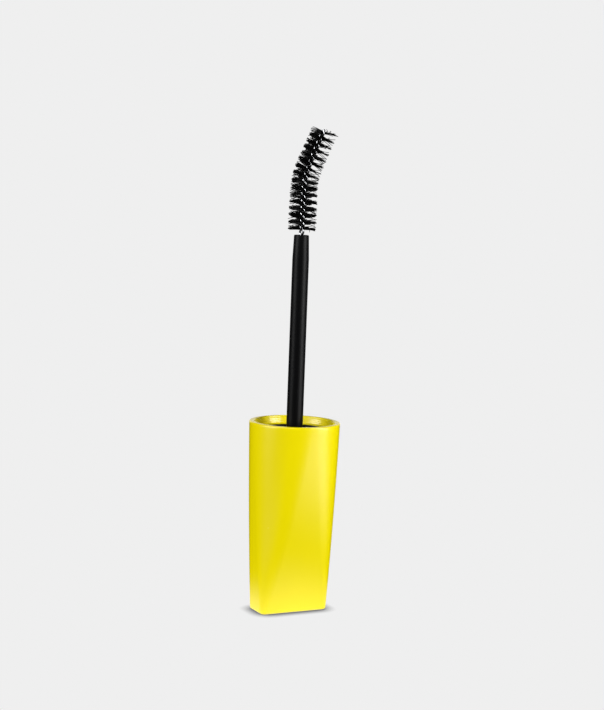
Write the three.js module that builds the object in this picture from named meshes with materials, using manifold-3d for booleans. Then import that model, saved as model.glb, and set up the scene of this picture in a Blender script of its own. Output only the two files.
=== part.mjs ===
// A mascara applicator standing on its cap: a lacquered over-shell, the screw insert pressed into
// it, a moulded stem and a curved twisted-wire brush.
// Millimetres, +Z up. The origin is the centre of the cap's flat closed end, +X runs along the long
// side of that end, which is also the way the brush bends, and -Y is the front.
import * as THREE from "three";
import { mergeVertices } from "three/addons/utils/BufferGeometryUtils.js";
import Module from "manifold-3d";

const wasm = await Module();
wasm.setup();

// Cap shell: a round mouth that runs down into a flat, rounded-rectangle closed end.
const capHeight = 47.6;
const rimRadius = 11.3;
const endHalfWidth = 9.1;
const endHalfDepth = 3.95;
const endCornerRadius = 1.3;
const sideSwell = 0.42; // 0 gives straight sides from end to rim, more fills the lower half out
const endEdgeRounding = 0.6;
const rimEdgeRounding = 0.4;
const shellWall = 1.6;
const endWall = 2.0;

// Mouth of the shell: a shallow round recess whose wall carries fine steps, over a flat ledge.
const rimWall = 1.3;
const ledgeWidth = 2.0;
const mouthDepth = 1.8;
const mouthStepHeight = 0.45;
const mouthStepWidth = 0.16;
const mouthStepCount = 2;

// Screw insert: a cup with an inside thread, and a socket under its floor for the stem. It fills
// the ledge's opening.
const insertWall = 1.4;
const insertDepth = 14.6;
const insertFloor = 1.6;
const insertEdgeChamfer = 0.4;
const gripRibCount = 16;
const gripRibHeight = 0.15;
const gripRibWidth = 0.7;
const threadPitch = 2.5;
const threadTurns = 1.5;
const threadHeight = 0.6;
const threadWidth = 1.1;
const threadStart = 2.2; // from the insert's mouth down to the thread's first turn
const socketWall = 1.7;
const socketDepth = 6.5; // below the floor

// Sealing washer on the insert's floor.
const washerThickness = 0.8;

// Stem: a plain rod, a smaller root with a snap bead, and a slightly tapered tip.
const stemRadius = 2.06;
const stemTop = 93.8;
const stemTipRadius = 1.85;
const stemTaperLength = 6.0;
const stemTipRounding = 0.3;
const rootRadius = 1.6;
const rootBeadHeight = 0.28;
const rootBeadLength = 1.2;

// Brush core: one wire folded double and twisted left-handed, then bent at a knee.
const wireRadius = 0.27;
const wireGap = 0.26; // between the two legs, where the filaments are gripped
const twistPitch = 3.29;
const coreLean = (0.7 * Math.PI) / 180;
const coreStraight = 11.1;
const kneeLength = 5.8;
const kneeTurn = (20.9 * Math.PI) / 180;
const tipTurn = (2.3 * Math.PI) / 180; // the slight bend that is left from the knee to the tip
const bendDirection = (-53.8 * Math.PI) / 180; // about the axis, from the cap's width
const stakedLength = 7.6; // of the wire inside the stem
const wirePastBristles = 0.3;

// Brush: filament rows, each about half a turn of the core long. The brush is trimmed a little off
// its core near the tip, on the side that the core bends to.
const rowCount = 16;
const brushStart = 1.25; // from the stem's tip along the core
const brushLength = 25.0;
const brushRadius = 3.5;
const brushTipRadius = 3.25;
const tipTrimShift = 0.45;
const rowHalfAngle = (28 * Math.PI) / 180;
const rowWebThickness = 0.12; // where the legs grip the filaments
const rowGap = 0.06; // between one row and the next, along the core

// Clearances between pieces that seat on, or pass through, each other.
const pressGap = 0.05;
const seatGap = 0.05;
const boreGap = 0.1;
const cutOverlap = 1.0; // how far a cutting body runs past the face it opens

// Fineness of the facets.
const shellSides = 48;
const shellLevels = 8;
const turnSides = 32;
const edgeSteps = 3;
const arcSegmentsPerSetting = 2; // an extruded arc gets twice the curveSegments it is given
const wireSides = 6;
const wireStep = 0.36;
const rowSteps = 12;
const rowArcSteps = 2;

const mouthRadius = rimRadius - rimWall;
const insertRadius = mouthRadius - ledgeWidth;
const insertTop = capHeight - mouthDepth;
const insertBottom = insertTop - insertDepth;
const insertFloorTop = insertBottom + insertFloor;
const threadBoreRadius = insertRadius - insertWall;
const stemSeat = insertFloorTop + seatGap;
const socketRadius = rootRadius + pressGap;
const socketBottom = insertBottom - socketDepth;
const beadBottom = socketBottom + rootBeadLength;
const legOffset = wireRadius + wireGap / 2;
const coreBoreRadius = legOffset + wireRadius + boreGap;
const coreTop = brushStart + brushLength + wirePastBristles;
const rowPitch = brushLength / rowCount;

const smoothPlastic = { roughness: 0.3, metalness: 0.0 };
const materials = {
  lacquer: new THREE.MeshStandardMaterial({ color: "#f2df10", ...smoothPlastic }),
  blackCap: new THREE.MeshStandardMaterial({ color: "#121212", ...smoothPlastic }),
  washer: new THREE.MeshStandardMaterial({ color: "#e9e7e0", roughness: 0.7, metalness: 0.0 }),
  stem: new THREE.MeshStandardMaterial({ color: "#0e0e10", roughness: 0.45, metalness: 0.0 }),
  wire: new THREE.MeshStandardMaterial({ color: "#b9bcc0", roughness: 0.3, metalness: 1.0 }),
  filament: new THREE.MeshStandardMaterial({ color: "#08080a", roughness: 0.5, metalness: 0.0 }),
};

// A three.js geometry as a solid: corners joined by position, faces with no area left out.
function solidFrom(geometry) {
  const bare = geometry.clone();
  bare.deleteAttribute("normal");
  bare.deleteAttribute("uv");
  const merged = mergeVertices(bare, 1e-4);
  const index = merged.index.array;
  const corners = [];
  for (let i = 0; i < index.length; i += 3) {
    const [a, b, c] = [index[i], index[i + 1], index[i + 2]];
    if (a !== b && b !== c && c !== a) corners.push(a, b, c);
  }
  return new wasm.Manifold(
    new wasm.Mesh({
      numProp: 3,
      vertProperties: merged.attributes.position.array,
      triVerts: new Uint32Array(corners),
    }),
  );
}

function geometryFrom(solid) {
  const mesh = solid.getMesh();
  const geometry = new THREE.BufferGeometry();
  geometry.setAttribute("position", new THREE.BufferAttribute(mesh.vertProperties.slice(), 3));
  geometry.setIndex(Array.from(mesh.triVerts));
  geometry.computeVertexNormals();
  return geometry;
}

// A profile of [radius, height] points turned about Z.
function turned(profile, sides = turnSides) {
  const points = profile.map(([radius, height]) => new THREE.Vector2(radius, height));
  return new THREE.LatheGeometry(points, sides).rotateX(Math.PI / 2);
}

// Points of a quarter-round edge from one angle to another, about a centre.
function roundedEdge(radius, height, rounding, from, to) {
  const points = [];
  for (let i = 0; i <= edgeSteps; i++) {
    const angle = from + ((to - from) * i) / edgeSteps;
    points.push([radius + rounding * Math.cos(angle), height + rounding * Math.sin(angle)]);
  }
  return points;
}

function moveVertices(geometry, move) {
  const position = geometry.attributes.position;
  const point = new THREE.Vector3();
  for (let i = 0; i < position.count; i++) {
    point.fromBufferAttribute(position, i);
    move(point);
    position.setXYZ(i, point.x, point.y, point.z);
  }
  return geometry;
}

// The shell's section at a height: a rounded rectangle that grows into the rim's circle.
function shellSection(height) {
  const s = Math.min(Math.max(height / capHeight, 0), 1);
  const k = s + sideSwell * s * (1 - s);
  return {
    halfWidth: endHalfWidth + (rimRadius - endHalfWidth) * k,
    halfDepth: endHalfDepth + (rimRadius - endHalfDepth) * k,
    corner: endCornerRadius + (rimRadius - endCornerRadius) * k,
  };
}

// Moves a turned body's wall onto the shell's section. A point that stands inside the rim's radius
// ends up the same distance inside the section.
function squeezeToSection(geometry) {
  return moveVertices(geometry, (point) => {
    const radius = Math.hypot(point.x, point.y);
    if (radius < 1e-6) return;
    const section = shellSection(point.z);
    const inset = rimRadius - radius;
    const across = Math.abs(point.x) < 1e-6 ? 0 : Math.sign(point.x);
    const along = Math.abs(point.y) < 1e-6 ? 0 : Math.sign(point.y);
    const corner = Math.max(section.corner - inset, section.corner / 4);
    const centreX = section.halfWidth - inset - corner;
    const centreY = section.halfDepth - inset - corner;
    point.x = across * centreX + (corner * point.x) / radius;
    point.y = along * centreY + (corner * point.y) / radius;
  });
}

function levels(from, to, count) {
  return Array.from({ length: count + 1 }, (_, i) => from + ((to - from) * i) / count);
}

// Outer shell.
function shellBody() {
  const e = endEdgeRounding;
  const r = rimEdgeRounding;
  const wallLevels = levels(e, capHeight - r, shellLevels).slice(1, -1);
  return squeezeToSection(
    turned(
      [
        [0, 0],
        ...roundedEdge(rimRadius - e, e, e, -Math.PI / 2, 0),
        ...wallLevels.map((height) => [rimRadius, height]),
        ...roundedEdge(rimRadius - r, capHeight - r, r, 0, Math.PI / 2),
        [0, capHeight],
      ],
      shellSides,
    ),
  );
}

// The hollow under the insert, one wall thickness inside the shell's section.
function shellHollow() {
  const inside = rimRadius - shellWall;
  const hollowTop = insertBottom + cutOverlap;
  return squeezeToSection(
    turned(
      [
        [0, endWall],
        ...levels(endWall, hollowTop, shellLevels - 2).map((height) => [inside, height]),
        [0, hollowTop],
      ],
      shellSides,
    ),
  );
}

// The bore that the insert is pressed into, then the mouth's recess with its steps and rounded lip.
function mouthCut() {
  const boreRadius = insertRadius + pressGap;
  const r = rimEdgeRounding;
  const steps = [];
  for (let i = 0; i < mouthStepCount; i++) {
    const height = insertTop + (i + 1) * mouthStepHeight;
    const radius = mouthRadius - (mouthStepCount - i) * mouthStepWidth;
    steps.push([radius, height - mouthStepHeight / 2], [radius, height]);
    steps.push([radius + mouthStepWidth, height]);
  }
  const recessBottom = mouthRadius - mouthStepCount * mouthStepWidth;
  const boreBottom = insertBottom - seatGap;
  const lip = roundedEdge(mouthRadius + r, capHeight - r, r, Math.PI, Math.PI / 2);
  return turned(
    [
      [0, boreBottom],
      [boreRadius, boreBottom],
      [boreRadius, insertTop],
      [recessBottom, insertTop],
      ...steps,
      ...lip,
      [mouthRadius + r, capHeight + cutOverlap],
      [0, capHeight + cutOverlap],
    ],
    shellSides,
  );
}

function outerCap() {
  const hollow = solidFrom(shellHollow());
  const mouth = solidFrom(mouthCut());
  return geometryFrom(solidFrom(shellBody()).subtract(hollow.add(mouth)));
}

// Screw insert.
function threadRidge() {
  const crest = threadBoreRadius - threadHeight;
  const root = threadBoreRadius + insertWall / 2;
  const flank = threadWidth / 4;
  const section = new THREE.Shape([
    new THREE.Vector2(crest, -flank),
    new THREE.Vector2(root, -threadWidth / 2),
    new THREE.Vector2(root, threadWidth / 2),
    new THREE.Vector2(crest, flank),
  ]);
  const steps = Math.round(threadTurns * turnSides);
  const sweep = threadTurns * 2 * Math.PI;
  const ridge = new THREE.ExtrudeGeometry(section, { depth: sweep, steps, bevelEnabled: false });
  const middle = insertTop - threadStart - (threadTurns * threadPitch) / 2;
  const halfFacet = Math.PI / turnSides;
  return moveVertices(ridge, (point) => {
    const angle = halfFacet - point.z;
    const rise = threadPitch * (threadTurns / 2 - point.z / (2 * Math.PI));
    point.set(point.x * Math.cos(angle), point.x * Math.sin(angle), middle + rise + point.y);
  });
}

function gripRibs() {
  const ribLength = insertDepth - 4 * insertEdgeChamfer;
  const ribs = [];
  for (let i = 0; i < gripRibCount; i++) {
    const rib = new THREE.BoxGeometry(insertWall, gripRibWidth, ribLength);
    rib.translate(insertRadius - insertWall / 2, 0, insertBottom + insertDepth / 2);
    ribs.push(rib.rotateZ((2 * Math.PI * i) / gripRibCount));
  }
  return ribs;
}

function screwInsert() {
  const c = insertEdgeChamfer;
  const wallRadius = insertRadius - gripRibHeight;
  const socketOuter = socketRadius + socketWall;
  const beadRadius = socketRadius + rootBeadHeight;
  const beadTop = beadBottom + rootBeadLength;
  const cup = turned([
    [socketRadius, socketBottom],
    [socketOuter - c, socketBottom],
    [socketOuter, socketBottom + c],
    [socketOuter, insertBottom],
    [wallRadius - c, insertBottom],
    [wallRadius, insertBottom + c],
    [wallRadius, insertTop],
    [threadBoreRadius + c, insertTop],
    [threadBoreRadius, insertTop - c],
    [threadBoreRadius, insertFloorTop],
    [socketRadius, insertFloorTop],
    [socketRadius, beadTop],
    [beadRadius, beadTop],
    [beadRadius, beadBottom + rootBeadHeight],
    [socketRadius, beadBottom],
    [socketRadius, socketBottom],
  ]);
  const cups = solidFrom(cup).add(solidFrom(threadRidge()));
  return geometryFrom(gripRibs().reduce((body, rib) => body.add(solidFrom(rib)), cups));
}

// Sealing washer round the stem.
function washer() {
  const inner = stemRadius + boreGap;
  const outer = threadBoreRadius - boreGap;
  const bottom = insertFloorTop + seatGap;
  const top = bottom + washerThickness;
  return turned([
    [inner, bottom],
    [outer, bottom],
    [outer, top],
    [inner, top],
    [inner, bottom],
  ]);
}

// Stem with its snap root below and the blind bore for the core above.
function stem() {
  const bead = rootRadius + rootBeadHeight - pressGap;
  const beadLow = beadBottom + rootBeadHeight + seatGap;
  const beadTop = beadBottom + rootBeadLength - seatGap;
  const t = stemTipRounding;
  return turned([
    [0, socketBottom + seatGap],
    [rootRadius - t, socketBottom + seatGap],
    [rootRadius, socketBottom + seatGap + t],
    [rootRadius, beadLow - seatGap],
    [bead, beadLow],
    [bead, beadTop],
    [rootRadius, beadTop],
    [rootRadius, stemSeat],
    [stemRadius, stemSeat],
    [stemRadius, stemTop - stemTaperLength],
    ...roundedEdge(stemTipRadius - t, stemTop - t, t, 0, Math.PI / 2),
    [coreBoreRadius, stemTop],
    [coreBoreRadius, stemTop - stakedLength],
    [0, stemTop - stakedLength],
  ]);
}

// The core's runs above the stem's tip, each with its length and how far it turns over that length.
const coreRuns = [
  { length: coreStraight, turn: 0 },
  { length: kneeLength, turn: kneeTurn },
  { length: coreTop - coreStraight - kneeLength, turn: tipTurn },
];

// A point of the core's centre line and the heading there. It starts upright, and x is how far it
// has gone in the direction that it bends.
function coreStation(distance) {
  const inStem = { x: 0, z: stemTop + distance, heading: 0 };
  if (distance <= 0) return inStem;
  const station = { x: 0, z: stemTop, heading: coreLean };
  let left = distance;
  for (const run of coreRuns) {
    const part = Math.min(left, run.length);
    const turn = (run.turn * part) / run.length;
    const chord = turn === 0 ? part : (part * Math.sin(turn / 2)) / (turn / 2);
    station.x += chord * Math.sin(station.heading + turn / 2);
    station.z += chord * Math.cos(station.heading + turn / 2);
    station.heading += turn;
    left -= part;
  }
  return station;
}

// Takes a point of a straight, untwisted brush, whose core is the Z axis and starts at the stem's
// tip, to its place on the twisted and bent one. A shift moves it sideways, the way the core bends.
function onCore(point, turn, shift = 0) {
  const { x, z, heading } = coreStation(point.z);
  const fromBend = turn - bendDirection;
  const across = point.x * Math.cos(fromBend) - point.y * Math.sin(fromBend) + shift;
  const deep = point.x * Math.sin(fromBend) + point.y * Math.cos(fromBend);
  point.set(x + across * Math.cos(heading), deep, z - across * Math.sin(heading));
  return point.applyAxisAngle(new THREE.Vector3(0, 0, 1), bendDirection);
}

function twistAt(distance) {
  return (-2 * Math.PI * (distance - brushStart)) / twistPitch;
}

// Core wire.
class FoldedWire extends THREE.Curve {
  constructor() {
    super();
    this.arcLengthDivisions = 2400;
    this.low = legOffset + wireRadius + seatGap - stakedLength;
    this.high = coreTop;
    this.foldShare = 0.02;
  }

  getPoint(t, target = new THREE.Vector3()) {
    const legShare = (1 - this.foldShare) / 2;
    const folding = t > legShare && t < 1 - legShare;
    const fold = (Math.PI * (t - legShare)) / this.foldShare;
    const down = t < 0.5 ? t / legShare : (1 - t) / legShare;
    const distance = this.high + (this.low - this.high) * Math.min(down, 1);
    const side = folding ? Math.cos(fold) : Math.sign(0.5 - t);
    const drop = folding ? legOffset * Math.sin(fold) : 0;
    target.set(0, side * legOffset, distance - drop);
    return onCore(target, twistAt(distance));
  }
}

function coreWire() {
  const section = new THREE.Shape();
  section.absarc(0, 0, wireRadius, 0, 2 * Math.PI);
  const path = new FoldedWire();
  return new THREE.ExtrudeGeometry(section, {
    extrudePath: path,
    steps: Math.round(path.getLength() / wireStep),
    curveSegments: wireSides / arcSegmentsPerSetting,
    bevelEnabled: false,
  });
}

// One row of filaments: a web between the core's legs that fans out on both sides, twisted with
// the core.
function bristleRow(number) {
  const low = number * rowPitch + rowGap / 2;
  const web = rowWebThickness / 2;
  const grip = legOffset;
  const section = new THREE.Shape();
  section.moveTo(-grip, -web);
  section.lineTo(grip, -web);
  section.absarc(0, 0, brushRadius, -rowHalfAngle, rowHalfAngle);
  section.lineTo(grip, web);
  section.lineTo(-grip, web);
  section.absarc(0, 0, brushRadius, Math.PI - rowHalfAngle, Math.PI + rowHalfAngle);
  const band = new THREE.ExtrudeGeometry(section, {
    depth: rowPitch - rowGap,
    steps: rowSteps,
    curveSegments: rowArcSteps / arcSegmentsPerSetting,
    bevelEnabled: false,
  });
  return moveVertices(band, (point) => {
    const along = (point.z + low) / brushLength;
    const reach = Math.hypot(point.x, point.y) / brushRadius;
    const trim = 1 + (brushTipRadius / brushRadius - 1) * along * along * reach;
    point.x *= trim;
    point.y *= trim;
    point.z += brushStart + low;
    onCore(point, twistAt(point.z), tipTrimShift * along * along * reach);
  });
}

const applicator = new THREE.Group();

function addPiece(name, geometry, material) {
  const mesh = new THREE.Mesh(geometry, material.clone());
  mesh.name = name;
  applicator.add(mesh);
}

addPiece("outer_cap", outerCap(), materials.lacquer);
addPiece("screw_insert", screwInsert(), materials.blackCap);
addPiece("sealing_washer", washer(), materials.washer);
addPiece("stem", stem(), materials.stem);
addPiece("core_wire", coreWire(), materials.wire);
for (let number = 0; number < rowCount; number++) {
  const name = `bristle_row_${String(number + 1).padStart(2, "0")}`;
  addPiece(name, bristleRow(number), materials.filament);
}

export default applicator;
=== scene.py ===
# A mascara applicator standing on its cap, built in the order it is put together: the cap's
# lacquered shell, the screw insert and its washer, the stem, the wire core and the bristles. Sizes
# are in millimetres, which MM turns into metres, unless their comment says otherwise.
import math

import bpy
from mathutils import Euler, Matrix, Vector


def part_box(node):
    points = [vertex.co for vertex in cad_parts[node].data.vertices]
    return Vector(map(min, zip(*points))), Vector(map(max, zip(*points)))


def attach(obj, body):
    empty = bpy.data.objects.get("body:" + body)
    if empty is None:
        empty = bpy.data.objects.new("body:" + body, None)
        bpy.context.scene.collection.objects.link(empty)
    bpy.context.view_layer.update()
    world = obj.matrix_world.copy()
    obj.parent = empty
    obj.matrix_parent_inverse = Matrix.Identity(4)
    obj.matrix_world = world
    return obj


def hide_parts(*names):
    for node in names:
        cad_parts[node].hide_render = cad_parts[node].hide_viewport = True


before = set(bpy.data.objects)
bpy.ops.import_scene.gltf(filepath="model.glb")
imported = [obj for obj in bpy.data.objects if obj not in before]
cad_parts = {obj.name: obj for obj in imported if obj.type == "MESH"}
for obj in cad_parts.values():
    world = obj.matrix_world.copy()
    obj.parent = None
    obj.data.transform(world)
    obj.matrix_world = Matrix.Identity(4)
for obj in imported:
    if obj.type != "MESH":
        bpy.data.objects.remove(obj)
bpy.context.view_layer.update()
MM = 0.001


# The stage: a pale sweep of paper that fades into the wall behind, lit by broad softboxes. The
# applicator is seen from a little above, from the left of the cap's front.
CAMERA_TURN = 26.9  # degrees round to the left of the front
CAMERA_DISTANCE = 400.0
CAMERA_HEIGHT = 105.11
CAMERA_TO_RIGHT = 1.21
CAMERA_DOWN = 5.845  # degrees
CAMERA_ROLL = 2.135  # degrees
CAMERA_LENS = 82.4
SENSOR_WIDTH = 36.0
WHITE = "#ffffff"
PAPER = "#efefef"
WALL_BRIGHTNESS = 1.0
FILL_BRIGHTNESS = 0.02
FLOOR_REACH = 6000.0
# The painted shadow under the foot: its reach, its darkest brightness, the openness where it is
# darkest, and its samples.
CONTACT_REACH = 3.0
PAINTED_SHADOW_DARKEST = 0.2
CONTACT_OPENNESS = 0.4  # where the painted shadow line under the foot is at its darkest
CONTACT_SAMPLES = 16
# Each glow of the paper: its middle's azimuth and distance, its radius and its peak brightness.
GLOWS = ((0, 0, 40, 1.0), (-40, 90, 70, 0.4), (70, 130, 100, 2.4), (76, 420, 220, 15.0))
SOFTBOX_DISTANCE = 900.0
SOFTBOX_AIM = 50.0  # above the floor
# Each softbox: its name, azimuth and elevation, its width and height in metres, and its watts.
SOFTBOXES = (("key", 62, 12, 0.5, 0.5, 8.2), ("side", -65, 15, 0.5, 0.6, 7.0),
             ("front", -25, 40, 0.6, 0.5, 2.6), ("backdrop", 180, 12, 1.2, 0.5, 1.7))


def linear(hex_colour):
    """An sRGB hex colour as linear RGBA."""
    channels = [int(hex_colour[i:i + 2], 16) / 255 for i in (1, 3, 5)]
    return (*[c / 12.92 if c <= 0.04045 else ((c + 0.055) / 1.055) ** 2.4 for c in channels], 1.0)


def add_node(tree, kind, settings=None, inputs=None):
    """A node with its settings, and inputs that are values or the sockets they are linked from."""
    node = tree.nodes.new(kind)
    for name, value in (settings or {}).items():
        setattr(node, name, value)
    for key, value in (inputs or {}).items():
        if isinstance(value, bpy.types.NodeSocket):
            tree.links.new(value, node.inputs[key])
        else:
            node.inputs[key].default_value = value
    return node


def seen_and_lit(tree, lit_by, seen):
    """A shader that the camera sees as one thing, and that lights the object as another."""
    path = add_node(tree, "ShaderNodeLightPath")
    return add_node(tree, "ShaderNodeMixShader", inputs={
        0: path.outputs["Is Camera Ray"], 1: lit_by.outputs[0], 2: seen.outputs[0]}).outputs[0]


def direction(azimuth, elevation=0.0):
    """A direction from the object. Azimuth 0 is towards the camera, and 90 is to its right."""
    turn, up = math.radians(azimuth - CAMERA_TURN), math.radians(elevation)
    return Vector((math.sin(turn) * math.cos(up), -math.cos(turn) * math.cos(up), math.sin(up)))


def studio_world():
    """A wall as bright as the paper, which throws only a little fill on the object."""
    world = bpy.data.worlds.new("studio")
    bpy.context.scene.world = world
    world.use_nodes = True
    tree = world.node_tree
    tree.nodes.clear()
    wall = add_node(tree, "ShaderNodeBackground", inputs={0: linear(PAPER), 1: WALL_BRIGHTNESS})
    fill = add_node(tree, "ShaderNodeBackground", inputs={0: linear(WHITE), 1: FILL_BRIGHTNESS})
    add_node(tree, "ShaderNodeOutputWorld", inputs={0: seen_and_lit(tree, fill, wall)})


def matt_paper():
    """Paper as bright as the wall that takes no real shadow, with a painted shadow: a soft dark
    line where the foot touches it.
    What the object itself is lit by is the glow of the paper round its foot and beside it."""
    material = bpy.data.materials.new("matt_paper")
    material.use_nodes = True
    tree = material.node_tree
    tree.nodes.clear()
    # Painted shadow: ambient occlusion dims the paper's own brightness where the foot is near.
    near = add_node(tree, "ShaderNodeAmbientOcclusion", {"samples": CONTACT_SAMPLES}, {
        "Distance": CONTACT_REACH * MM})
    painted_shadow = add_node(tree, "ShaderNodeMapRange", {"clamp": True}, {
        0: near.outputs["AO"], 1: CONTACT_OPENNESS, 2: 1.0, 3: PAINTED_SHADOW_DARKEST, 4: 1.0})
    seen = add_node(tree, "ShaderNodeEmission", inputs={0: linear(PAPER), 1: painted_shadow.outputs[0]})
    place = add_node(tree, "ShaderNodeTexCoord").outputs["Object"]
    brightness = 0.0
    for azimuth, distance, radius, peak in GLOWS:
        away = add_node(tree, "ShaderNodeVectorMath", {"operation": "DISTANCE"}, {
            0: place, 1: direction(azimuth) * distance * MM})
        pool = add_node(tree, "ShaderNodeMapRange", {"interpolation_type": "SMOOTHERSTEP"}, {
            0: away.outputs["Value"], 1: 0.0, 2: radius * MM, 3: peak, 4: 0.0})
        total = add_node(tree, "ShaderNodeMath", inputs={0: brightness, 1: pool.outputs[0]})
        brightness = total.outputs[0]
    glow = add_node(tree, "ShaderNodeEmission", inputs={0: linear(WHITE), 1: brightness})
    add_node(tree, "ShaderNodeOutputMaterial", inputs={0: seen_and_lit(tree, glow, seen)})
    return material


def paper_floor():
    reach = FLOOR_REACH * MM
    corners = [(-reach, -reach, 0), (reach, -reach, 0), (reach, reach, 0), (-reach, reach, 0)]
    mesh = bpy.data.meshes.new("floor")
    mesh.from_pydata(corners, [], [(0, 1, 2, 3)])
    mesh.materials.append(matt_paper())
    floor = bpy.data.objects.new("floor", mesh)
    bpy.context.collection.objects.link(floor)


def camera():
    view = bpy.data.cameras.new("camera")
    view.sensor_width = SENSOR_WIDTH
    view.lens = CAMERA_LENS
    seen_from = bpy.data.objects.new("camera", view)
    turned = Matrix.Rotation(math.radians(-CAMERA_TURN), 4, "Z")
    stand = Matrix.Translation(Vector((CAMERA_TO_RIGHT, -CAMERA_DISTANCE, CAMERA_HEIGHT)) * MM)
    tilt = Euler((math.radians(90 - CAMERA_DOWN), 0, 0)).to_matrix().to_4x4()
    roll = Matrix.Rotation(math.radians(CAMERA_ROLL), 4, "Z")
    seen_from.matrix_world = turned @ stand @ tilt @ roll
    bpy.context.collection.objects.link(seen_from)
    bpy.context.scene.camera = seen_from


def softbox(name, azimuth, elevation, width, height, watts):
    """A rectangular light that faces the object."""
    light = bpy.data.lights.new(name, "AREA")
    light.shape = "RECTANGLE"
    light.size, light.size_y = width, height
    light.energy = watts
    away = direction(azimuth, elevation)
    box = bpy.data.objects.new(name, light)
    box.location = (Vector((0, 0, SOFTBOX_AIM)) + SOFTBOX_DISTANCE * away) * MM
    box.rotation_euler = away.to_track_quat("Z", "Y").to_euler()
    bpy.context.collection.objects.link(box)


bpy.context.scene.view_settings.view_transform = "Standard"
studio_world()
paper_floor()
camera()
for box_settings in SOFTBOXES:
    softbox(*box_settings)


# The cap's shell is one injection-moulded ABS part: a round mouth that runs down into a flat,
# rounded-rectangle end. It is sprayed with a yellow satin lacquer that also covers the lip.
CAP_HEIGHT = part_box("outer_cap")[1][2] / MM
RIM_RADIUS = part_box("outer_cap")[1][0] / MM
END_HALF_WIDTH = 9.1
END_HALF_DEPTH = 3.95
END_CORNER = 1.3
END_FACE_INSET = 3.0
END_ROUNDING = 0.6
END_WALL = 2.0
SIDE_SWELL = 0.42
SHELL_WALL = 1.6
LEAST_CORNER = 0.25  # of the corner outside, which the corners inside are never tighter than
SHELL_STRAIGHT = 1.0  # from the end and the lip to the first and last level of the side
SHELL_LEVELS = 40
HOLLOW_LEVELS = 20
SHELL_SIDES = 192
LIP_ROUNDING = 0.35
MOUTH_RADIUS = 10.0
MOUTH_DEPTH = 1.8
STEP_COUNT = 3
STEP_HEIGHT = 0.42
STEP_WIDTH = 0.09
STEP_FLARE = 0.06
STEP_FILLET = 0.12
STEP_EDGE_DROP = 0.04
STEP_EDGE_WIDTH = 0.02
STEP_TREAD_RISE = 0.03
LEDGE_RADIUS = 8.05
LEDGE_ROUNDING = 0.15
INSERT_BOTTOM = 31.2
SEAT_GAP = 0.05  # of air between pieces that rest on or against each other
CREASE_ANGLE = 40  # degrees, over which an edge is drawn sharp
ROUNDING_ERROR = 1e-6  # of a sine or cosine that should be zero


def shell_section(height):
    """Half the shell's width, half its depth and its corner radius, at a height."""
    s = min(max(height / CAP_HEIGHT, 0.0), 1.0)
    k = s + SIDE_SWELL * s * (1 - s)
    return [end + (RIM_RADIUS - end) * k for end in (END_HALF_WIDTH, END_HALF_DEPTH, END_CORNER)]


def side_of(value):
    """1 or -1, or 0 for a value that differs from zero by rounding only."""
    return 0 if abs(value) < ROUNDING_ERROR else math.copysign(1, value)


def shell_point(angle, radius, height):
    """Where the wall stands whose outside is the rim's radius in a round shell."""
    half_width, half_depth, corner = shell_section(height)
    inset = RIM_RADIUS - radius
    corner = max(corner - inset, corner * LEAST_CORNER)
    across, along = math.cos(angle), math.sin(angle)
    return (side_of(across) * (half_width - inset - corner) + corner * across,
            side_of(along) * (half_depth - inset - corner) + corner * along, height)


def round_point(angle, radius, height):
    return radius * math.cos(angle), radius * math.sin(angle), height


def arc(radius, height, rounding, start, end, steps=6):
    """Profile points round an edge, from one angle to another in degrees."""
    angles = [math.radians(start + (end - start) * i / steps) for i in range(steps + 1)]
    return [(radius + rounding * math.cos(a), height + rounding * math.sin(a)) for a in angles]


def levels(start, end, count, radius):
    """Profile points of one radius from a height to another, both included."""
    return [(radius, start + (end - start) * i / count) for i in range(count + 1)]


def placed(points, put):
    """Profile points laid round by a function of angle, radius and height, not in a circle."""
    return [(radius, height, put) for radius, height in points]


def turned_mesh(name, profile, sides, closed=False):
    """A body turned about Z from (radius, height) or (radius, height, put) points, which run up
    the outside. A radius of 0 makes a pole, and a closed profile makes a ring."""
    vertices, faces, rings = [], [], []
    for radius, height, *way in profile:
        put = way[0] if way else round_point
        if radius == 0:
            rings.append([len(vertices)])
            vertices.append((0, 0, height * MM))
            continue
        rings.append(range(len(vertices), len(vertices) + sides))
        for i in range(sides):
            vertices.append([v * MM for v in put(2 * math.pi * i / sides, radius, height)])
    pairs = list(zip(rings, rings[1:])) + ([(rings[-1], rings[0])] if closed else [])
    for low, high in pairs:
        for i in range(sides):
            j = (i + 1) % sides
            if len(low) == 1:
                faces.append((low[0], high[j], high[i]))
            elif len(high) == 1:
                faces.append((low[i], low[j], high[0]))
            else:
                faces.append((low[i], low[j], high[j], high[i]))
    mesh = bpy.data.meshes.new(name)
    mesh.from_pydata(vertices, [], faces)
    mesh.validate()
    return mesh


def finished_piece(name, mesh, material, stands_for, crease=CREASE_ANGLE):
    """Shades a mesh, gives it its material, hangs it on the root body and hides the CAD parts it
    stands for.
    """
    mesh.shade_smooth()
    mesh.set_sharp_from_angle(angle=math.radians(crease))
    mesh.materials.clear()
    mesh.materials.append(material)
    piece = bpy.data.objects.new(name, mesh)
    bpy.context.collection.objects.link(piece)
    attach(piece, "root")
    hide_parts(*stands_for)


def new_material(name, colour, inputs):
    """A material with one Principled shader, returned with its tree and shader."""
    material = bpy.data.materials.new(name)
    material.use_nodes = True
    tree = material.node_tree
    shader = tree.nodes["Principled BSDF"]
    for key, value in {"Base Color": linear(colour), **inputs}.items():
        shader.inputs[key].default_value = value
    return material, tree, shader


def on_object(tree):
    """Where a point is on the object, in metres."""
    return add_node(tree, "ShaderNodeTexCoord").outputs["Object"]


def mottle(tree, place, size, detail):
    """Noise with patches of about a size."""
    return add_node(tree, "ShaderNodeTexNoise", inputs={
        "Vector": place, "Scale": 1 / (size * MM), "Detail": detail}).outputs[0]


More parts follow.
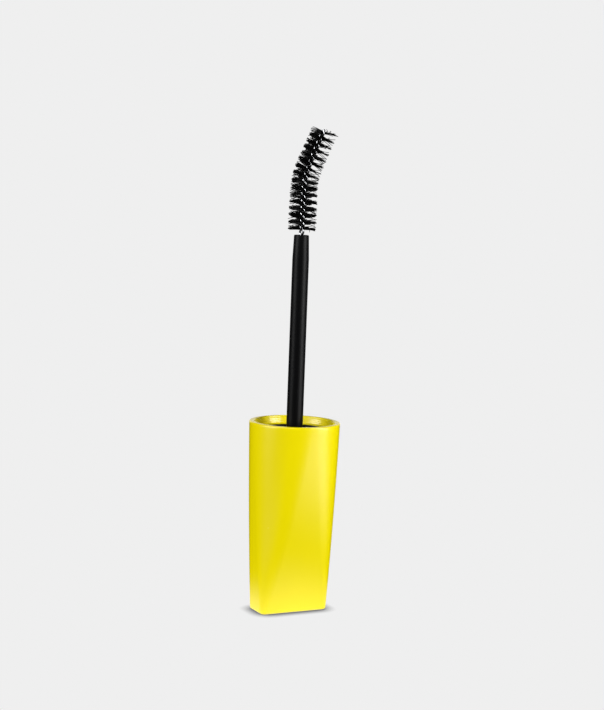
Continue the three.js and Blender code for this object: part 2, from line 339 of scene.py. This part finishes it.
def add_relief(tree, shader, field, strength, depth):
    """Fine relief that follows a field, in the material."""
    relief = add_node(tree, "ShaderNodeBump", inputs={
        "Strength": strength, "Distance": depth * MM, "Height": field})
    tree.links.new(relief.outputs[0], shader.inputs["Normal"])


def vary_roughness(tree, shader, field, low, high):
    """A roughness that follows a field between two values."""
    rough = add_node(tree, "ShaderNodeMapRange", inputs={0: field, 3: low, 4: high})
    tree.links.new(rough.outputs[0], shader.inputs["Roughness"])


def lacquered_abs():
    """Pigmented lacquer sprayed on ABS: a satin coat with a faint orange peel."""
    material, tree, shader = new_material("lacquered_abs", "#f2e000", {
        "IOR": 1.52, "Coat Weight": 0.15, "Coat Roughness": 0.22})
    place = on_object(tree)
    add_relief(tree, shader, mottle(tree, place, size=1.1, detail=2.0), strength=0.05, depth=0.02)
    vary_roughness(tree, shader, mottle(tree, place, size=6, detail=3.0), low=0.23, high=0.29)
    return material


def mouth_steps():
    """The fine turned steps that run round the inside of the mouth, from the ledge up."""
    radius = MOUTH_RADIUS - STEP_COUNT * (STEP_WIDTH + STEP_FLARE)
    height = CAP_HEIGHT - MOUTH_DEPTH
    points = arc(radius - STEP_FILLET, height + STEP_FILLET, STEP_FILLET, -90, 0, steps=3)
    for _ in range(STEP_COUNT):
        height += STEP_HEIGHT
        radius += STEP_FLARE
        points += [(radius, height - STEP_EDGE_DROP), (radius + STEP_EDGE_WIDTH, height)]
        radius += STEP_WIDTH
        points.append((radius, height + STEP_TREAD_RISE))
    return points


def cap_profile():
    lip_height = CAP_HEIGHT - LIP_ROUNDING
    outside = [
        (RIM_RADIUS - END_FACE_INSET, 0),
        *arc(RIM_RADIUS - END_ROUNDING, END_ROUNDING, END_ROUNDING, -90, 0),
        *levels(SHELL_STRAIGHT, CAP_HEIGHT - SHELL_STRAIGHT, SHELL_LEVELS, RIM_RADIUS),
        *arc(RIM_RADIUS - LIP_ROUNDING, lip_height, LIP_ROUNDING, 0, 90),
    ]
    ledge_edge = CAP_HEIGHT - MOUTH_DEPTH - LEDGE_ROUNDING
    mouth = [
        *arc(MOUTH_RADIUS + LIP_ROUNDING, lip_height, LIP_ROUNDING, 90, 180),
        *mouth_steps()[::-1],
        *arc(LEDGE_RADIUS + LEDGE_ROUNDING, ledge_edge, LEDGE_ROUNDING, 90, 180, steps=4),
        (LEDGE_RADIUS, INSERT_BOTTOM),
    ]
    hollow = levels(INSERT_BOTTOM - SEAT_GAP, END_WALL, HOLLOW_LEVELS, RIM_RADIUS - SHELL_WALL)
    return [(0, 0), *placed(outside, shell_point), *mouth, *placed(hollow, shell_point),
            (0, END_WALL)]


finished_piece("cap_shell", turned_mesh("cap_shell", cap_profile(), SHELL_SIDES),
               lacquered_abs(), ["outer_cap"])


# The screw insert is moulded in black polypropylene and pressed into the shell. It has grip ribs
# outside, the neck thread inside, and a socket under its floor that the stem snaps into.
INSERT_TOP = CAP_HEIGHT - MOUTH_DEPTH
INSERT_RADIUS = 8.0
INSERT_FLOOR = 32.8
INSERT_EDGE = 0.25
INSERT_SIDES = 192
FLOOR_FILLET = 0.1
RIB_COUNT = 16
RIB_HEIGHT = 0.15
RIB_HALF_WIDTH = math.radians(2.5)
RIB_FLANK = math.radians(1.2)
RIB_RUNOUT = 0.8
RIB_LEVELS = 4
THREAD_BORE = 6.6
THREAD_HEIGHT = 0.6
THREAD_PITCH = 2.5
THREAD_TURNS = 1.5
THREAD_WIDTH = 1.1
THREAD_START = 2.2
THREAD_RUNOUT = math.radians(14)
THREAD_LEVELS = 54
SOCKET_RADIUS = 1.65
SOCKET_OUTER = 3.35
SOCKET_BOTTOM = 24.7
SOCKET_FILLET = 0.4
BEAD_BOTTOM = 25.9
BEAD_LENGTH = 1.2
BEAD_HEIGHT = 0.28


def ramp(value, low, high):
    """0 below low, 1 above high and a smooth step between them."""
    share = min(max((value - low) / (high - low), 0.0), 1.0)
    return share * share * (3 - 2 * share)


def ribbed_point(angle, radius, height):
    """The insert's outside, with upright ribs that run out before its ends."""
    pitch = 2 * math.pi / RIB_COUNT
    off_centre = abs((angle + pitch / 2) % pitch - pitch / 2)
    rib = ramp(-off_centre, -RIB_HALF_WIDTH - RIB_FLANK, -RIB_HALF_WIDTH)
    rib *= ramp(height, INSERT_BOTTOM + RIB_RUNOUT, INSERT_BOTTOM + 2 * RIB_RUNOUT)
    rib *= ramp(-height, -INSERT_TOP + RIB_RUNOUT, -INSERT_TOP + 2 * RIB_RUNOUT)
    return round_point(angle, radius + RIB_HEIGHT * rib, height)


def threaded_point(angle, radius, height):
    """The insert's bore, with a thread ridge that winds down from near its mouth."""
    sweep = 2 * math.pi * THREAD_TURNS
    ridge = 0.0
    for turn in range(math.ceil(THREAD_TURNS)):
        along = -angle % (2 * math.pi) + 2 * math.pi * turn
        middle = INSERT_TOP - THREAD_START - THREAD_PITCH * along / (2 * math.pi)
        flank = ramp(-abs(height - middle), -THREAD_WIDTH / 2, -THREAD_WIDTH / 4)
        ends = ramp(along, 0, THREAD_RUNOUT) * ramp(-along, -sweep, THREAD_RUNOUT - sweep)
        ridge = max(ridge, flank * ends)
    return round_point(angle, radius - THREAD_HEIGHT * ridge, height)


def insert_profile():
    e = INSERT_EDGE
    wall = INSERT_RADIUS - RIB_HEIGHT
    ribs_low, ribs_high = INSERT_BOTTOM + RIB_RUNOUT, INSERT_TOP - RIB_RUNOUT
    ribs = [*levels(ribs_low, ribs_low + RIB_RUNOUT, RIB_LEVELS, wall),
            *levels(ribs_high - RIB_RUNOUT, ribs_high, RIB_LEVELS, wall)]
    thread_high = INSERT_TOP - THREAD_START + THREAD_WIDTH
    thread_low = INSERT_TOP - THREAD_START - THREAD_TURNS * THREAD_PITCH - THREAD_WIDTH
    thread = levels(thread_high, thread_low, THREAD_LEVELS, THREAD_BORE)
    f = FLOOR_FILLET
    bead = SOCKET_RADIUS + BEAD_HEIGHT
    return [
        (SOCKET_RADIUS, SOCKET_BOTTOM),
        *arc(SOCKET_OUTER - e, SOCKET_BOTTOM + e, e, -90, 0, steps=4),
        *arc(SOCKET_OUTER + SOCKET_FILLET, INSERT_BOTTOM - SOCKET_FILLET, SOCKET_FILLET, 180, 90,
             steps=4),
        *arc(wall - e, INSERT_BOTTOM + e, e, -90, 0, steps=4),
        *placed(ribs, ribbed_point),
        *arc(wall - e, INSERT_TOP - e, e, 0, 90, steps=4),
        *arc(THREAD_BORE + e, INSERT_TOP - e, e, 90, 180, steps=4),
        *placed(thread, threaded_point),
        *arc(THREAD_BORE - f, INSERT_FLOOR + f, f, 0, -90, steps=2),
        (SOCKET_RADIUS + f, INSERT_FLOOR), (SOCKET_RADIUS, INSERT_FLOOR - f),
        (SOCKET_RADIUS, BEAD_BOTTOM + BEAD_LENGTH), (bead, BEAD_BOTTOM + BEAD_LENGTH),
        (bead, BEAD_BOTTOM + BEAD_HEIGHT), (SOCKET_RADIUS, BEAD_BOTTOM),
    ]


def black_polypropylene():
    """Moulded polypropylene: waxy, with a soft sheen and the mould's fine spark texture."""
    material, tree, shader = new_material("black_polypropylene", "#060606", {
        "Roughness": 0.42, "IOR": 1.49, "Specular IOR Level": 0.12})
    grain = mottle(tree, on_object(tree), size=0.25, detail=3.0)
    add_relief(tree, shader, grain, strength=0.15, depth=0.02)
    return material


insert_mesh = turned_mesh("screw_insert_moulding", insert_profile(), INSERT_SIDES, closed=True)
finished_piece("screw_insert_moulding", insert_mesh, black_polypropylene(),
               ["screw_insert"])


# The washer that seals the bottle's neck is die-cut from white closed-cell polyethylene foam. It
# lies loose on the insert's floor, round the stem.
WASHER_INNER = 2.16  # which leaves the stem a little air
WASHER_OUTER = 6.5
WASHER_BOTTOM = INSERT_FLOOR + SEAT_GAP
WASHER_THICKNESS = 0.8
WASHER_EDGE = 0.12
WASHER_SIDES = 96
FOAM_GLOW_DEPTHS = (0.6 * MM, 0.6 * MM, 0.5 * MM)  # of red, green and blue light, in metres
FOAM_CELL = 0.3


def closed_cell_foam():
    """Polyethylene foam: matt and a little translucent, its skin dimpled by the cells under it."""
    material, tree, shader = new_material("closed_cell_pe_foam", "#e9e7e0", {
        "Roughness": 0.78, "IOR": 1.4, "Subsurface Weight": 0.25,
        "Subsurface Radius": FOAM_GLOW_DEPTHS})
    cells = add_node(tree, "ShaderNodeTexVoronoi", inputs={
        "Vector": on_object(tree), "Scale": 1 / (FOAM_CELL * MM)})
    add_relief(tree, shader, cells.outputs["Distance"], strength=0.4, depth=0.05)
    return material


def washer_profile():
    e = WASHER_EDGE
    top = WASHER_BOTTOM + WASHER_THICKNESS
    return [
        *arc(WASHER_INNER + e, WASHER_BOTTOM + e, e, 180, 270, steps=3),
        *arc(WASHER_OUTER - e, WASHER_BOTTOM + e, e, -90, 0, steps=3),
        *arc(WASHER_OUTER - e, top - e, e, 0, 90, steps=3),
        *arc(WASHER_INNER + e, top - e, e, 90, 180, steps=3),
    ]


washer_mesh = turned_mesh("foam_washer", washer_profile(), WASHER_SIDES, closed=True)
finished_piece("foam_washer", washer_mesh, closed_cell_foam(), ["sealing_washer"])


# The stem is one moulded acetal rod. Its root snaps into the insert's socket behind a bead, and its
# tip has a blind bore that the wire core is staked into.
STEM_RADIUS = 2.06
STEM_SEAT = INSERT_FLOOR + SEAT_GAP
STEM_TOP = 93.8
STEM_TIP_RADIUS = 1.85
STEM_TAPER = 6.0
STEM_ROUNDING = 0.3
STEM_SIDES = 128
ROOT_RADIUS = 1.6
BEAD_FLANK = 0.05
WIRE_RADIUS = 0.27
LEG_OFFSET = 0.4
BORE_GAP = 0.1
CORE_BORE = LEG_OFFSET + WIRE_RADIUS + BORE_GAP
STAKED_LENGTH = 7.6
PARTING_HEIGHT = 0.012
PARTING_START = 0.5
FLOW_STRETCH = 0.08  # the flow marks' width over their length along the rod


def parted_point(angle, radius, height):
    """The rod's surface, which stands up very slightly where the two halves of the mould met."""
    at_parting = min(angle % math.pi, math.pi - angle % math.pi) < math.pi / STEM_SIDES
    return round_point(angle, radius + (PARTING_HEIGHT if at_parting else 0), height)


def black_acetal():
    """Moulded acetal: a dense black with a satin skin, and flow marks along the rod."""
    material, tree, shader = new_material("black_acetal", "#070708", {
        "IOR": 1.48, "Specular IOR Level": 0.1})
    place = on_object(tree)
    along = add_node(tree, "ShaderNodeMapping", inputs={
        "Vector": place, "Scale": (1, 1, FLOW_STRETCH)}).outputs[0]
    vary_roughness(tree, shader, mottle(tree, along, size=0.5, detail=3.0), low=0.34, high=0.46)
    add_relief(tree, shader, mottle(tree, place, size=0.12, detail=2.0), strength=0.2, depth=0.01)
    return material


def stem_profile():
    bottom = SOCKET_BOTTOM + SEAT_GAP
    bead = ROOT_RADIUS + BEAD_HEIGHT - SEAT_GAP
    bead_low = BEAD_BOTTOM + BEAD_HEIGHT + SEAT_GAP
    bead_high = BEAD_BOTTOM + BEAD_LENGTH - SEAT_GAP
    rod = [(STEM_RADIUS, STEM_SEAT + PARTING_START), (STEM_RADIUS, STEM_TOP - STEM_TAPER)]
    bore_floor = STEM_TOP - STAKED_LENGTH
    t = STEM_ROUNDING
    return [
        (0, bottom), *arc(ROOT_RADIUS - t, bottom + t, t, -90, 0, steps=4),
        (ROOT_RADIUS, bead_low - BEAD_FLANK), (bead, bead_low),
        (bead, bead_high), (ROOT_RADIUS, bead_high),
        (ROOT_RADIUS, STEM_SEAT), (STEM_RADIUS, STEM_SEAT), *placed(rod, parted_point),
        *arc(STEM_TIP_RADIUS - t, STEM_TOP - t, t, 0, 90),
        (CORE_BORE, STEM_TOP), (CORE_BORE, bore_floor), (0, bore_floor),
    ]


finished_piece("stem_rod", turned_mesh("stem_rod", stem_profile(), STEM_SIDES), black_acetal(),
               ["stem"])


# The core is one stainless wire folded double over the filaments and twisted left-handed, then bent
# at a knee. Its folded end is staked in the stem, and both cut ends are at the tip.
TWIST_PITCH = 3.29
BEND_DIRECTION = math.radians(-53.8)  # about the axis, from the cap's width
CORE_LEAN = math.radians(0.7)
CORE_STRAIGHT = 11.1
KNEE_LENGTH = 5.8
KNEE_TURN = math.radians(20.9)
TIP_TURN = math.radians(2.3)
BRUSH_START = 1.25
BRUSH_LENGTH = 25.0
BRUSH_RADIUS = 3.5
BRUSH_TIP_RADIUS = 3.25
WIRE_PAST_BRISTLES = 0.3
CORE_TOP = BRUSH_START + BRUSH_LENGTH + WIRE_PAST_BRISTLES
# Each run of the core above the stem: its length, and how far it turns.
CORE_RUNS = ((CORE_STRAIGHT, 0.0), (KNEE_LENGTH, KNEE_TURN),
             (CORE_TOP - CORE_STRAIGHT - KNEE_LENGTH, TIP_TURN))
WIRE_SIDES = 14
WIRE_STEPS_PER_TURN = 26
FOLD_STEPS = 12
DRAWN_STRETCH = (6, 6, 0.4)  # across the wire twice, then along it, where the lines are long
DRAWN_SCALE = 1.5


def core_station(distance):
    """A point of the core's centre line, as x and z, and the heading there."""
    x, z, heading = 0.0, STEM_TOP + min(distance, 0), CORE_LEAN if distance > 0 else 0.0
    left = max(distance, 0)
    for length, full_turn in CORE_RUNS:
        part = min(left, length)
        half_turn = full_turn * part / length / 2
        chord = part * math.sin(half_turn) / half_turn if half_turn else part
        x += chord * math.sin(heading + half_turn)
        z += chord * math.cos(heading + half_turn)
        heading += 2 * half_turn
        left -= part
    return x, z, heading


def on_core(x, y, distance, shift=0.0):
    """Takes a point beside a straight core to its place beside the bent one. A shift moves it
    sideways, the way the core bends."""
    away, z, heading = core_station(distance)
    towards = Vector((math.cos(BEND_DIRECTION), math.sin(BEND_DIRECTION)))
    across = x * towards.x + y * towards.y + shift
    deep = y * towards.x - x * towards.y
    away += across * math.cos(heading)
    return Vector((away * towards.x - deep * towards.y, away * towards.y + deep * towards.x,
                   z - across * math.sin(heading))) * MM


def twist_at(distance):
    """How far the legs have turned round the core, in radians."""
    return -2 * math.pi * (distance - BRUSH_START) / TWIST_PITCH


def wire_path():
    """The wire's centre line: down one leg, round the fold and up the other leg."""
    low = LEG_OFFSET + WIRE_RADIUS + SEAT_GAP - STAKED_LENGTH
    steps = round((CORE_TOP - low) / TWIST_PITCH * WIRE_STEPS_PER_TURN)
    down = [(1, 0, CORE_TOP + (low - CORE_TOP) * i / steps) for i in range(steps)]
    fold_angles = [math.pi * i / FOLD_STEPS for i in range(FOLD_STEPS + 1)]
    fold = [(math.cos(angle), math.sin(angle), low) for angle in fold_angles]
    up = [(-side, drop, distance) for side, drop, distance in reversed(down)]
    path = []
    for side, drop, distance in down + fold + up:
        turn = twist_at(distance)
        path.append(on_core(-side * LEG_OFFSET * math.sin(turn), side * LEG_OFFSET * math.cos(turn),
                            distance - drop * LEG_OFFSET))
    return path


def swept_tube(name, path, radius, sides):
    """A closed round tube along a path, with the drawing direction kept in a named attribute."""
    vertices, drawn, faces = [], [], []
    across = Vector((1, 0, 0))
    for i, point in enumerate(path):
        ahead = (path[min(i + 1, len(path) - 1)] - path[max(i - 1, 0)]).normalized()
        across = (across - across.dot(ahead) * ahead).normalized()
        beside = ahead.cross(across)
        for k in range(sides):
            angle = 2 * math.pi * k / sides
            spoke = across * math.cos(angle) + beside * math.sin(angle)
            vertices.append(point + radius * MM * spoke)
            drawn += [math.cos(angle), math.sin(angle), i / WIRE_STEPS_PER_TURN]
    for i in range(len(path) - 1):
        for k in range(sides):
            low, next_low = i * sides + k, i * sides + (k + 1) % sides
            faces.append((low, next_low, next_low + sides, low + sides))
    last = (len(path) - 1) * sides
    faces.append(tuple(range(sides))[::-1])
    faces.append(tuple(range(last, last + sides)))
    mesh = bpy.data.meshes.new(name)
    mesh.from_pydata(vertices, [], faces)
    drawn_along = mesh.attributes.new("drawn", "FLOAT_VECTOR", "POINT")
    drawn_along.data.foreach_set("vector", drawn)
    return mesh


def drawn_stainless():
    """Stainless spring wire: bright metal, with the die's fine lines along its length."""
    material, tree, shader = new_material("drawn_stainless_wire", "#b8babd", {"Metallic": 1.0})
    along = add_node(tree, "ShaderNodeAttribute", {"attribute_name": "drawn"}).outputs["Vector"]
    stretched = add_node(tree, "ShaderNodeMapping", inputs={
        "Vector": along, "Scale": DRAWN_STRETCH})
    lines = add_node(tree, "ShaderNodeTexNoise", inputs={
        "Vector": stretched.outputs[0], "Scale": DRAWN_SCALE, "Detail": 4.0}).outputs[0]
    vary_roughness(tree, shader, lines, low=0.12, high=0.24)
    add_relief(tree, shader, lines, strength=0.3, depth=0.01)
    return material


wire_mesh = swept_tube("twisted_wire", wire_path(), WIRE_RADIUS, WIRE_SIDES)
finished_piece("twisted_wire", wire_mesh, drawn_stainless(), ["core_wire"])


# The bristles are black nylon filaments gripped across the core between its two legs. The twist
# fans them out into a double screw, and trimming leaves it a little off the core near the tip.
FILAMENT_COUNT = 900
FILAMENT_RADIUS = 0.068
FILAMENT_POINTS = 13
FILAMENT_SIDES = 5
BRISTLE_CREASE = 60  # degrees
TRIM_SHARE = 0.97
TRIM_SPREAD = 0.04
TIP_TRIM_SHIFT = 0.45
# Neighbours stick together: each filament is drawn to its clump by a share that varies.
CLUMP_SIZE = 9.0  # filaments
CLUMP_PULL = 0.35
CLUMP_PULL_SPREAD = 0.3
CLUMP_RISE = 0.6
# How far filaments fan round the core, in radians, and rise along it. They do more at their ends.
ROOT_FAN = 0.05
END_FAN = 0.12
END_RISE = 0.09
SWAY_RISE = 1.3
SWAY_SCALE = 0.7
SWAY_SIDES_APART = 40.0
# Strays are rare filaments that stand out of their row.
STRAY_RARITY = 9.0
STRAY_FAN = 0.5
STRAY_RISE = 0.9
# The last filaments at the tip are ragged, and splayed to one side.
RAGGED_FROM = 0.93  # of the brush's length
RAGGED_GROWTH = 14.0
RAGGED_TRIM = 0.12
RAGGED_RISE = 0.6
SPLAY_RISE = 0.6
SPLAY_DIRECTION = math.radians(-26.9)
# Two or three rows where the knee starts are loose and wavy, on the side away from the splay.
LOOSE_STATION = 10.8
LOOSE_LENGTH = 1.9
LOOSE_FAN = 0.5
LOOSE_RISE = 0.9
WAVE_HEIGHT = 0.12
WAVE_TURN = 11.0  # radians from root to end
WAVE_START = 3.0  # radians


class Field:
    """A value in a node tree that can be reckoned with as a number can."""

    def __init__(self, tree, socket):
        self.tree, self.socket = tree, socket

    def reckon(self, operation, *others):
        values = [other.socket if isinstance(other, Field) else other for other in others]
        node = add_node(self.tree, "ShaderNodeMath", {"operation": operation},
                        dict(enumerate([self.socket, *values])))
        return Field(self.tree, node.outputs[0])

    def chance(self, spread, seed):
        """A number between -spread and spread that differs for each value of this one."""
        node = add_node(self.tree, "FunctionNodeRandomValue", {"data_type": "FLOAT"}, {
            "ID": self.socket, "Seed": seed})
        low, high = [socket for socket in node.inputs if socket.type == "VALUE"][:2]
        low.default_value, high.default_value = -spread, spread
        return Field(self.tree, node.outputs[1])

    def above_zero(self):
        return self.reckon("MAXIMUM", 0.0)

    def __add__(self, other):
        return self.reckon("ADD", other)

    def __rsub__(self, other):
        return self.reckon("MULTIPLY", -1.0) + other

    def __sub__(self, other):
        return self.reckon("SUBTRACT", other)

    def __mul__(self, other):
        return self.reckon("MULTIPLY", other)

    def __truediv__(self, other):
        return self.reckon("DIVIDE", other)


def straight_filaments(tree, count):
    """One straight line for each filament. Its points keep its number, and a share that runs from
    -1 at one end to 1 at the other."""
    index = add_node(tree, "GeometryNodeInputIndex").outputs[0]
    points = add_node(tree, "GeometryNodeMeshLine", inputs={"Count": count})
    numbered = add_node(tree, "GeometryNodeStoreNamedAttribute", {"data_type": "FLOAT"}, {
        "Geometry": points.outputs[0], "Name": "filament", "Value": index})
    straight = add_node(tree, "GeometryNodeCurvePrimitiveLine", inputs={
        "Start": (-1, 0, 0), "End": (1, 0, 0)})
    divided = add_node(tree, "GeometryNodeResampleCurve", inputs={
        "Curve": straight.outputs[0], "Count": FILAMENT_POINTS})
    place = add_node(tree, "ShaderNodeSeparateXYZ", inputs={
        0: add_node(tree, "GeometryNodeInputPosition").outputs[0]})
    shared = add_node(tree, "GeometryNodeStoreNamedAttribute", {"data_type": "FLOAT"}, {
        "Geometry": divided.outputs[0], "Name": "share", "Value": place.outputs[0]})
    laid = add_node(tree, "GeometryNodeInstanceOnPoints", inputs={
        "Points": numbered.outputs[0], "Instance": shared.outputs[0]})
    return add_node(tree, "GeometryNodeRealizeInstances", inputs={0: laid.outputs[0]}).outputs[0]


def sway_field(tree, station, on_right):
    """A slow wander of neighbouring filaments, different on the core's two sides."""
    where = add_node(tree, "ShaderNodeCombineXYZ", inputs={
        0: station.socket, 1: (on_right * SWAY_SIDES_APART).socket})
    noise = add_node(tree, "ShaderNodeTexNoise", {"noise_dimensions": "2D"}, {
        "Scale": SWAY_SCALE, "Vector": where.outputs[0]})
    return (Field(tree, noise.outputs[0]) - 0.5) * SWAY_RISE


def twisted_place(tree, size):
    """Where a filament's point goes when the core is twisted: fanned, clumped, trimmed and worn."""
    share, filament = [
        Field(tree, add_node(tree, "GeometryNodeInputNamedAttribute", {"data_type": "FLOAT"}, {
            "Name": name}).outputs[0]) for name in ("share", "filament")]
    spacing = size["Length"] / size["Count"]
    out = share.reckon("ABSOLUTE")
    bent = out * out
    on_right = share.reckon("GREATER_THAN", 0.0)
    end_number = filament * 2.0 + on_right
    side_shift = on_right * (CLUMP_SIZE / 2)
    clump = ((filament + side_shift) / size["Clump Size"]).reckon("FLOOR")
    to_clump = (clump + 0.5) * size["Clump Size"] - side_shift - filament
    pulled = to_clump * spacing * bent * (end_number.chance(CLUMP_PULL_SPREAD, seed=1) + CLUMP_PULL)
    station = size["Start"] + spacing * (filament + 0.5)
    along = (station - size["Start"]) / size["Length"]
    sway = sway_field(tree, station, on_right)
    stray = end_number.chance(1.0, seed=2).reckon("POWER", STRAY_RARITY)
    ragged = (along - RAGGED_FROM).above_zero() * RAGGED_GROWTH
    screw = (station - size["Start"]) * (-2 * math.pi) / size["Pitch"]
    loose_place = (station - LOOSE_STATION) / LOOSE_LENGTH
    right = (screw - SPLAY_DIRECTION).reckon("COSINE") * share
    loosened = (1.0 - loose_place * loose_place).above_zero() * (0.0 - right).above_zero()
    turn = (screw + pulled * (-2 * math.pi) / size["Pitch"]
            + end_number.chance(ROOT_FAN, seed=3) + end_number.chance(END_FAN, seed=4) * bent
            + stray * bent * STRAY_FAN + end_number.chance(LOOSE_FAN, seed=9) * loosened)
    reach = (size["Reach"] + (size["Tip Reach"] - size["Reach"]) * along * along) * share
    reach = (reach * (end_number.chance(TRIM_SPREAD, seed=5) + TRIM_SHARE)
             * (end_number.chance(1.0, seed=6) * ragged * RAGGED_TRIM + 1.0))
    wave = (out * WAVE_TURN + end_number.chance(WAVE_START, seed=11)).reckon("SINE")
    splay = end_number.chance(RAGGED_RISE, seed=8) + right * SPLAY_RISE
    height = (station + pulled * CLUMP_RISE + sway * bent + stray * bent * STRAY_RISE
              + end_number.chance(END_RISE, seed=7) * bent + splay * ragged * bent
              + end_number.chance(LOOSE_RISE, seed=10) * loosened + wave * loosened * WAVE_HEIGHT)
    return add_node(tree, "ShaderNodeCombineXYZ", inputs={
        0: (reach * turn.reckon("COSINE")).socket,
        1: (reach * turn.reckon("SINE")).socket,
        2: height.socket}).outputs[0]


def filament_tree():
    """Filaments across a straight core on the Z axis, in millimetres."""
    tree = bpy.data.node_groups.new("twisted_filaments", "GeometryNodeTree")
    for name, kind in (("Count", "Int"), ("Start", "Float"), ("Length", "Float"),
                       ("Pitch", "Float"), ("Reach", "Float"), ("Tip Reach", "Float"),
                       ("Thickness", "Float"), ("Clump Size", "Float"), ("Material", "Material")):
        tree.interface.new_socket(name, in_out="INPUT", socket_type="NodeSocket" + kind)
    tree.interface.new_socket("Geometry", in_out="OUTPUT", socket_type="NodeSocketGeometry")
    given = add_node(tree, "NodeGroupInput").outputs
    size = {socket.name: Field(tree, socket) for socket in given}
    twisted = add_node(tree, "GeometryNodeSetPosition", inputs={
        "Geometry": straight_filaments(tree, given["Count"]),
        "Position": twisted_place(tree, size)})
    section = add_node(tree, "GeometryNodeCurvePrimitiveCircle", inputs={
        "Resolution": FILAMENT_SIDES, "Radius": given["Thickness"]})
    tubes = add_node(tree, "GeometryNodeCurveToMesh", inputs={
        "Curve": twisted.outputs[0], "Profile Curve": section.outputs[0], "Fill Caps": True})
    whole = add_node(tree, "GeometryNodeRealizeInstances", inputs={0: tubes.outputs[0]})
    coloured = add_node(tree, "GeometryNodeSetMaterial", inputs={
        "Geometry": whole.outputs[0], "Material": given["Material"]})
    add_node(tree, "NodeGroupOutput", inputs={0: coloured.outputs[0]})
    return tree


def black_nylon():
    """Drawn nylon 6.12 filament: black through and through, with a faint gloss along it."""
    material, tree, shader = new_material("black_nylon_filament", "#020202", {
        "IOR": 1.53, "Specular IOR Level": 0.12})
    dust = mottle(tree, on_object(tree), size=0.4, detail=3.0)
    vary_roughness(tree, shader, dust, low=0.35, high=0.6)
    return material


def bristle_mesh(material):
    """The filament tree's result as a plain mesh, bent and trimmed as the core and brush are."""
    source = bpy.data.objects.new("filament_source", bpy.data.meshes.new("filament_source"))
    bpy.context.collection.objects.link(source)
    tree = filament_tree()
    modifier = source.modifiers.new("filaments", "NODES")
    modifier.node_group = tree
    values = {"Count": FILAMENT_COUNT, "Start": BRUSH_START, "Length": BRUSH_LENGTH,
              "Pitch": TWIST_PITCH, "Reach": BRUSH_RADIUS, "Tip Reach": BRUSH_TIP_RADIUS,
              "Thickness": FILAMENT_RADIUS, "Clump Size": CLUMP_SIZE, "Material": material}
    for item in tree.interface.items_tree:
        if item.in_out == "INPUT":
            modifier[item.identifier] = values[item.name]
    made = source.evaluated_get(bpy.context.evaluated_depsgraph_get())
    mesh = bpy.data.meshes.new_from_object(made)
    bpy.data.objects.remove(source)
    for vertex in mesh.vertices:
        x, y, distance = vertex.co
        along = min(max((distance - BRUSH_START) / BRUSH_LENGTH, 0.0), 1.0)
        out = math.hypot(x, y) / BRUSH_RADIUS
        vertex.co = on_core(x, y, distance, TIP_TRIM_SHIFT * along * along * out)
    mesh.name = "bristles"
    return mesh


nylon = black_nylon()
row_nodes = [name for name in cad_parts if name.startswith("bristle_row_")]
finished_piece("bristles", bristle_mesh(nylon), nylon, row_nodes, BRISTLE_CREASE)
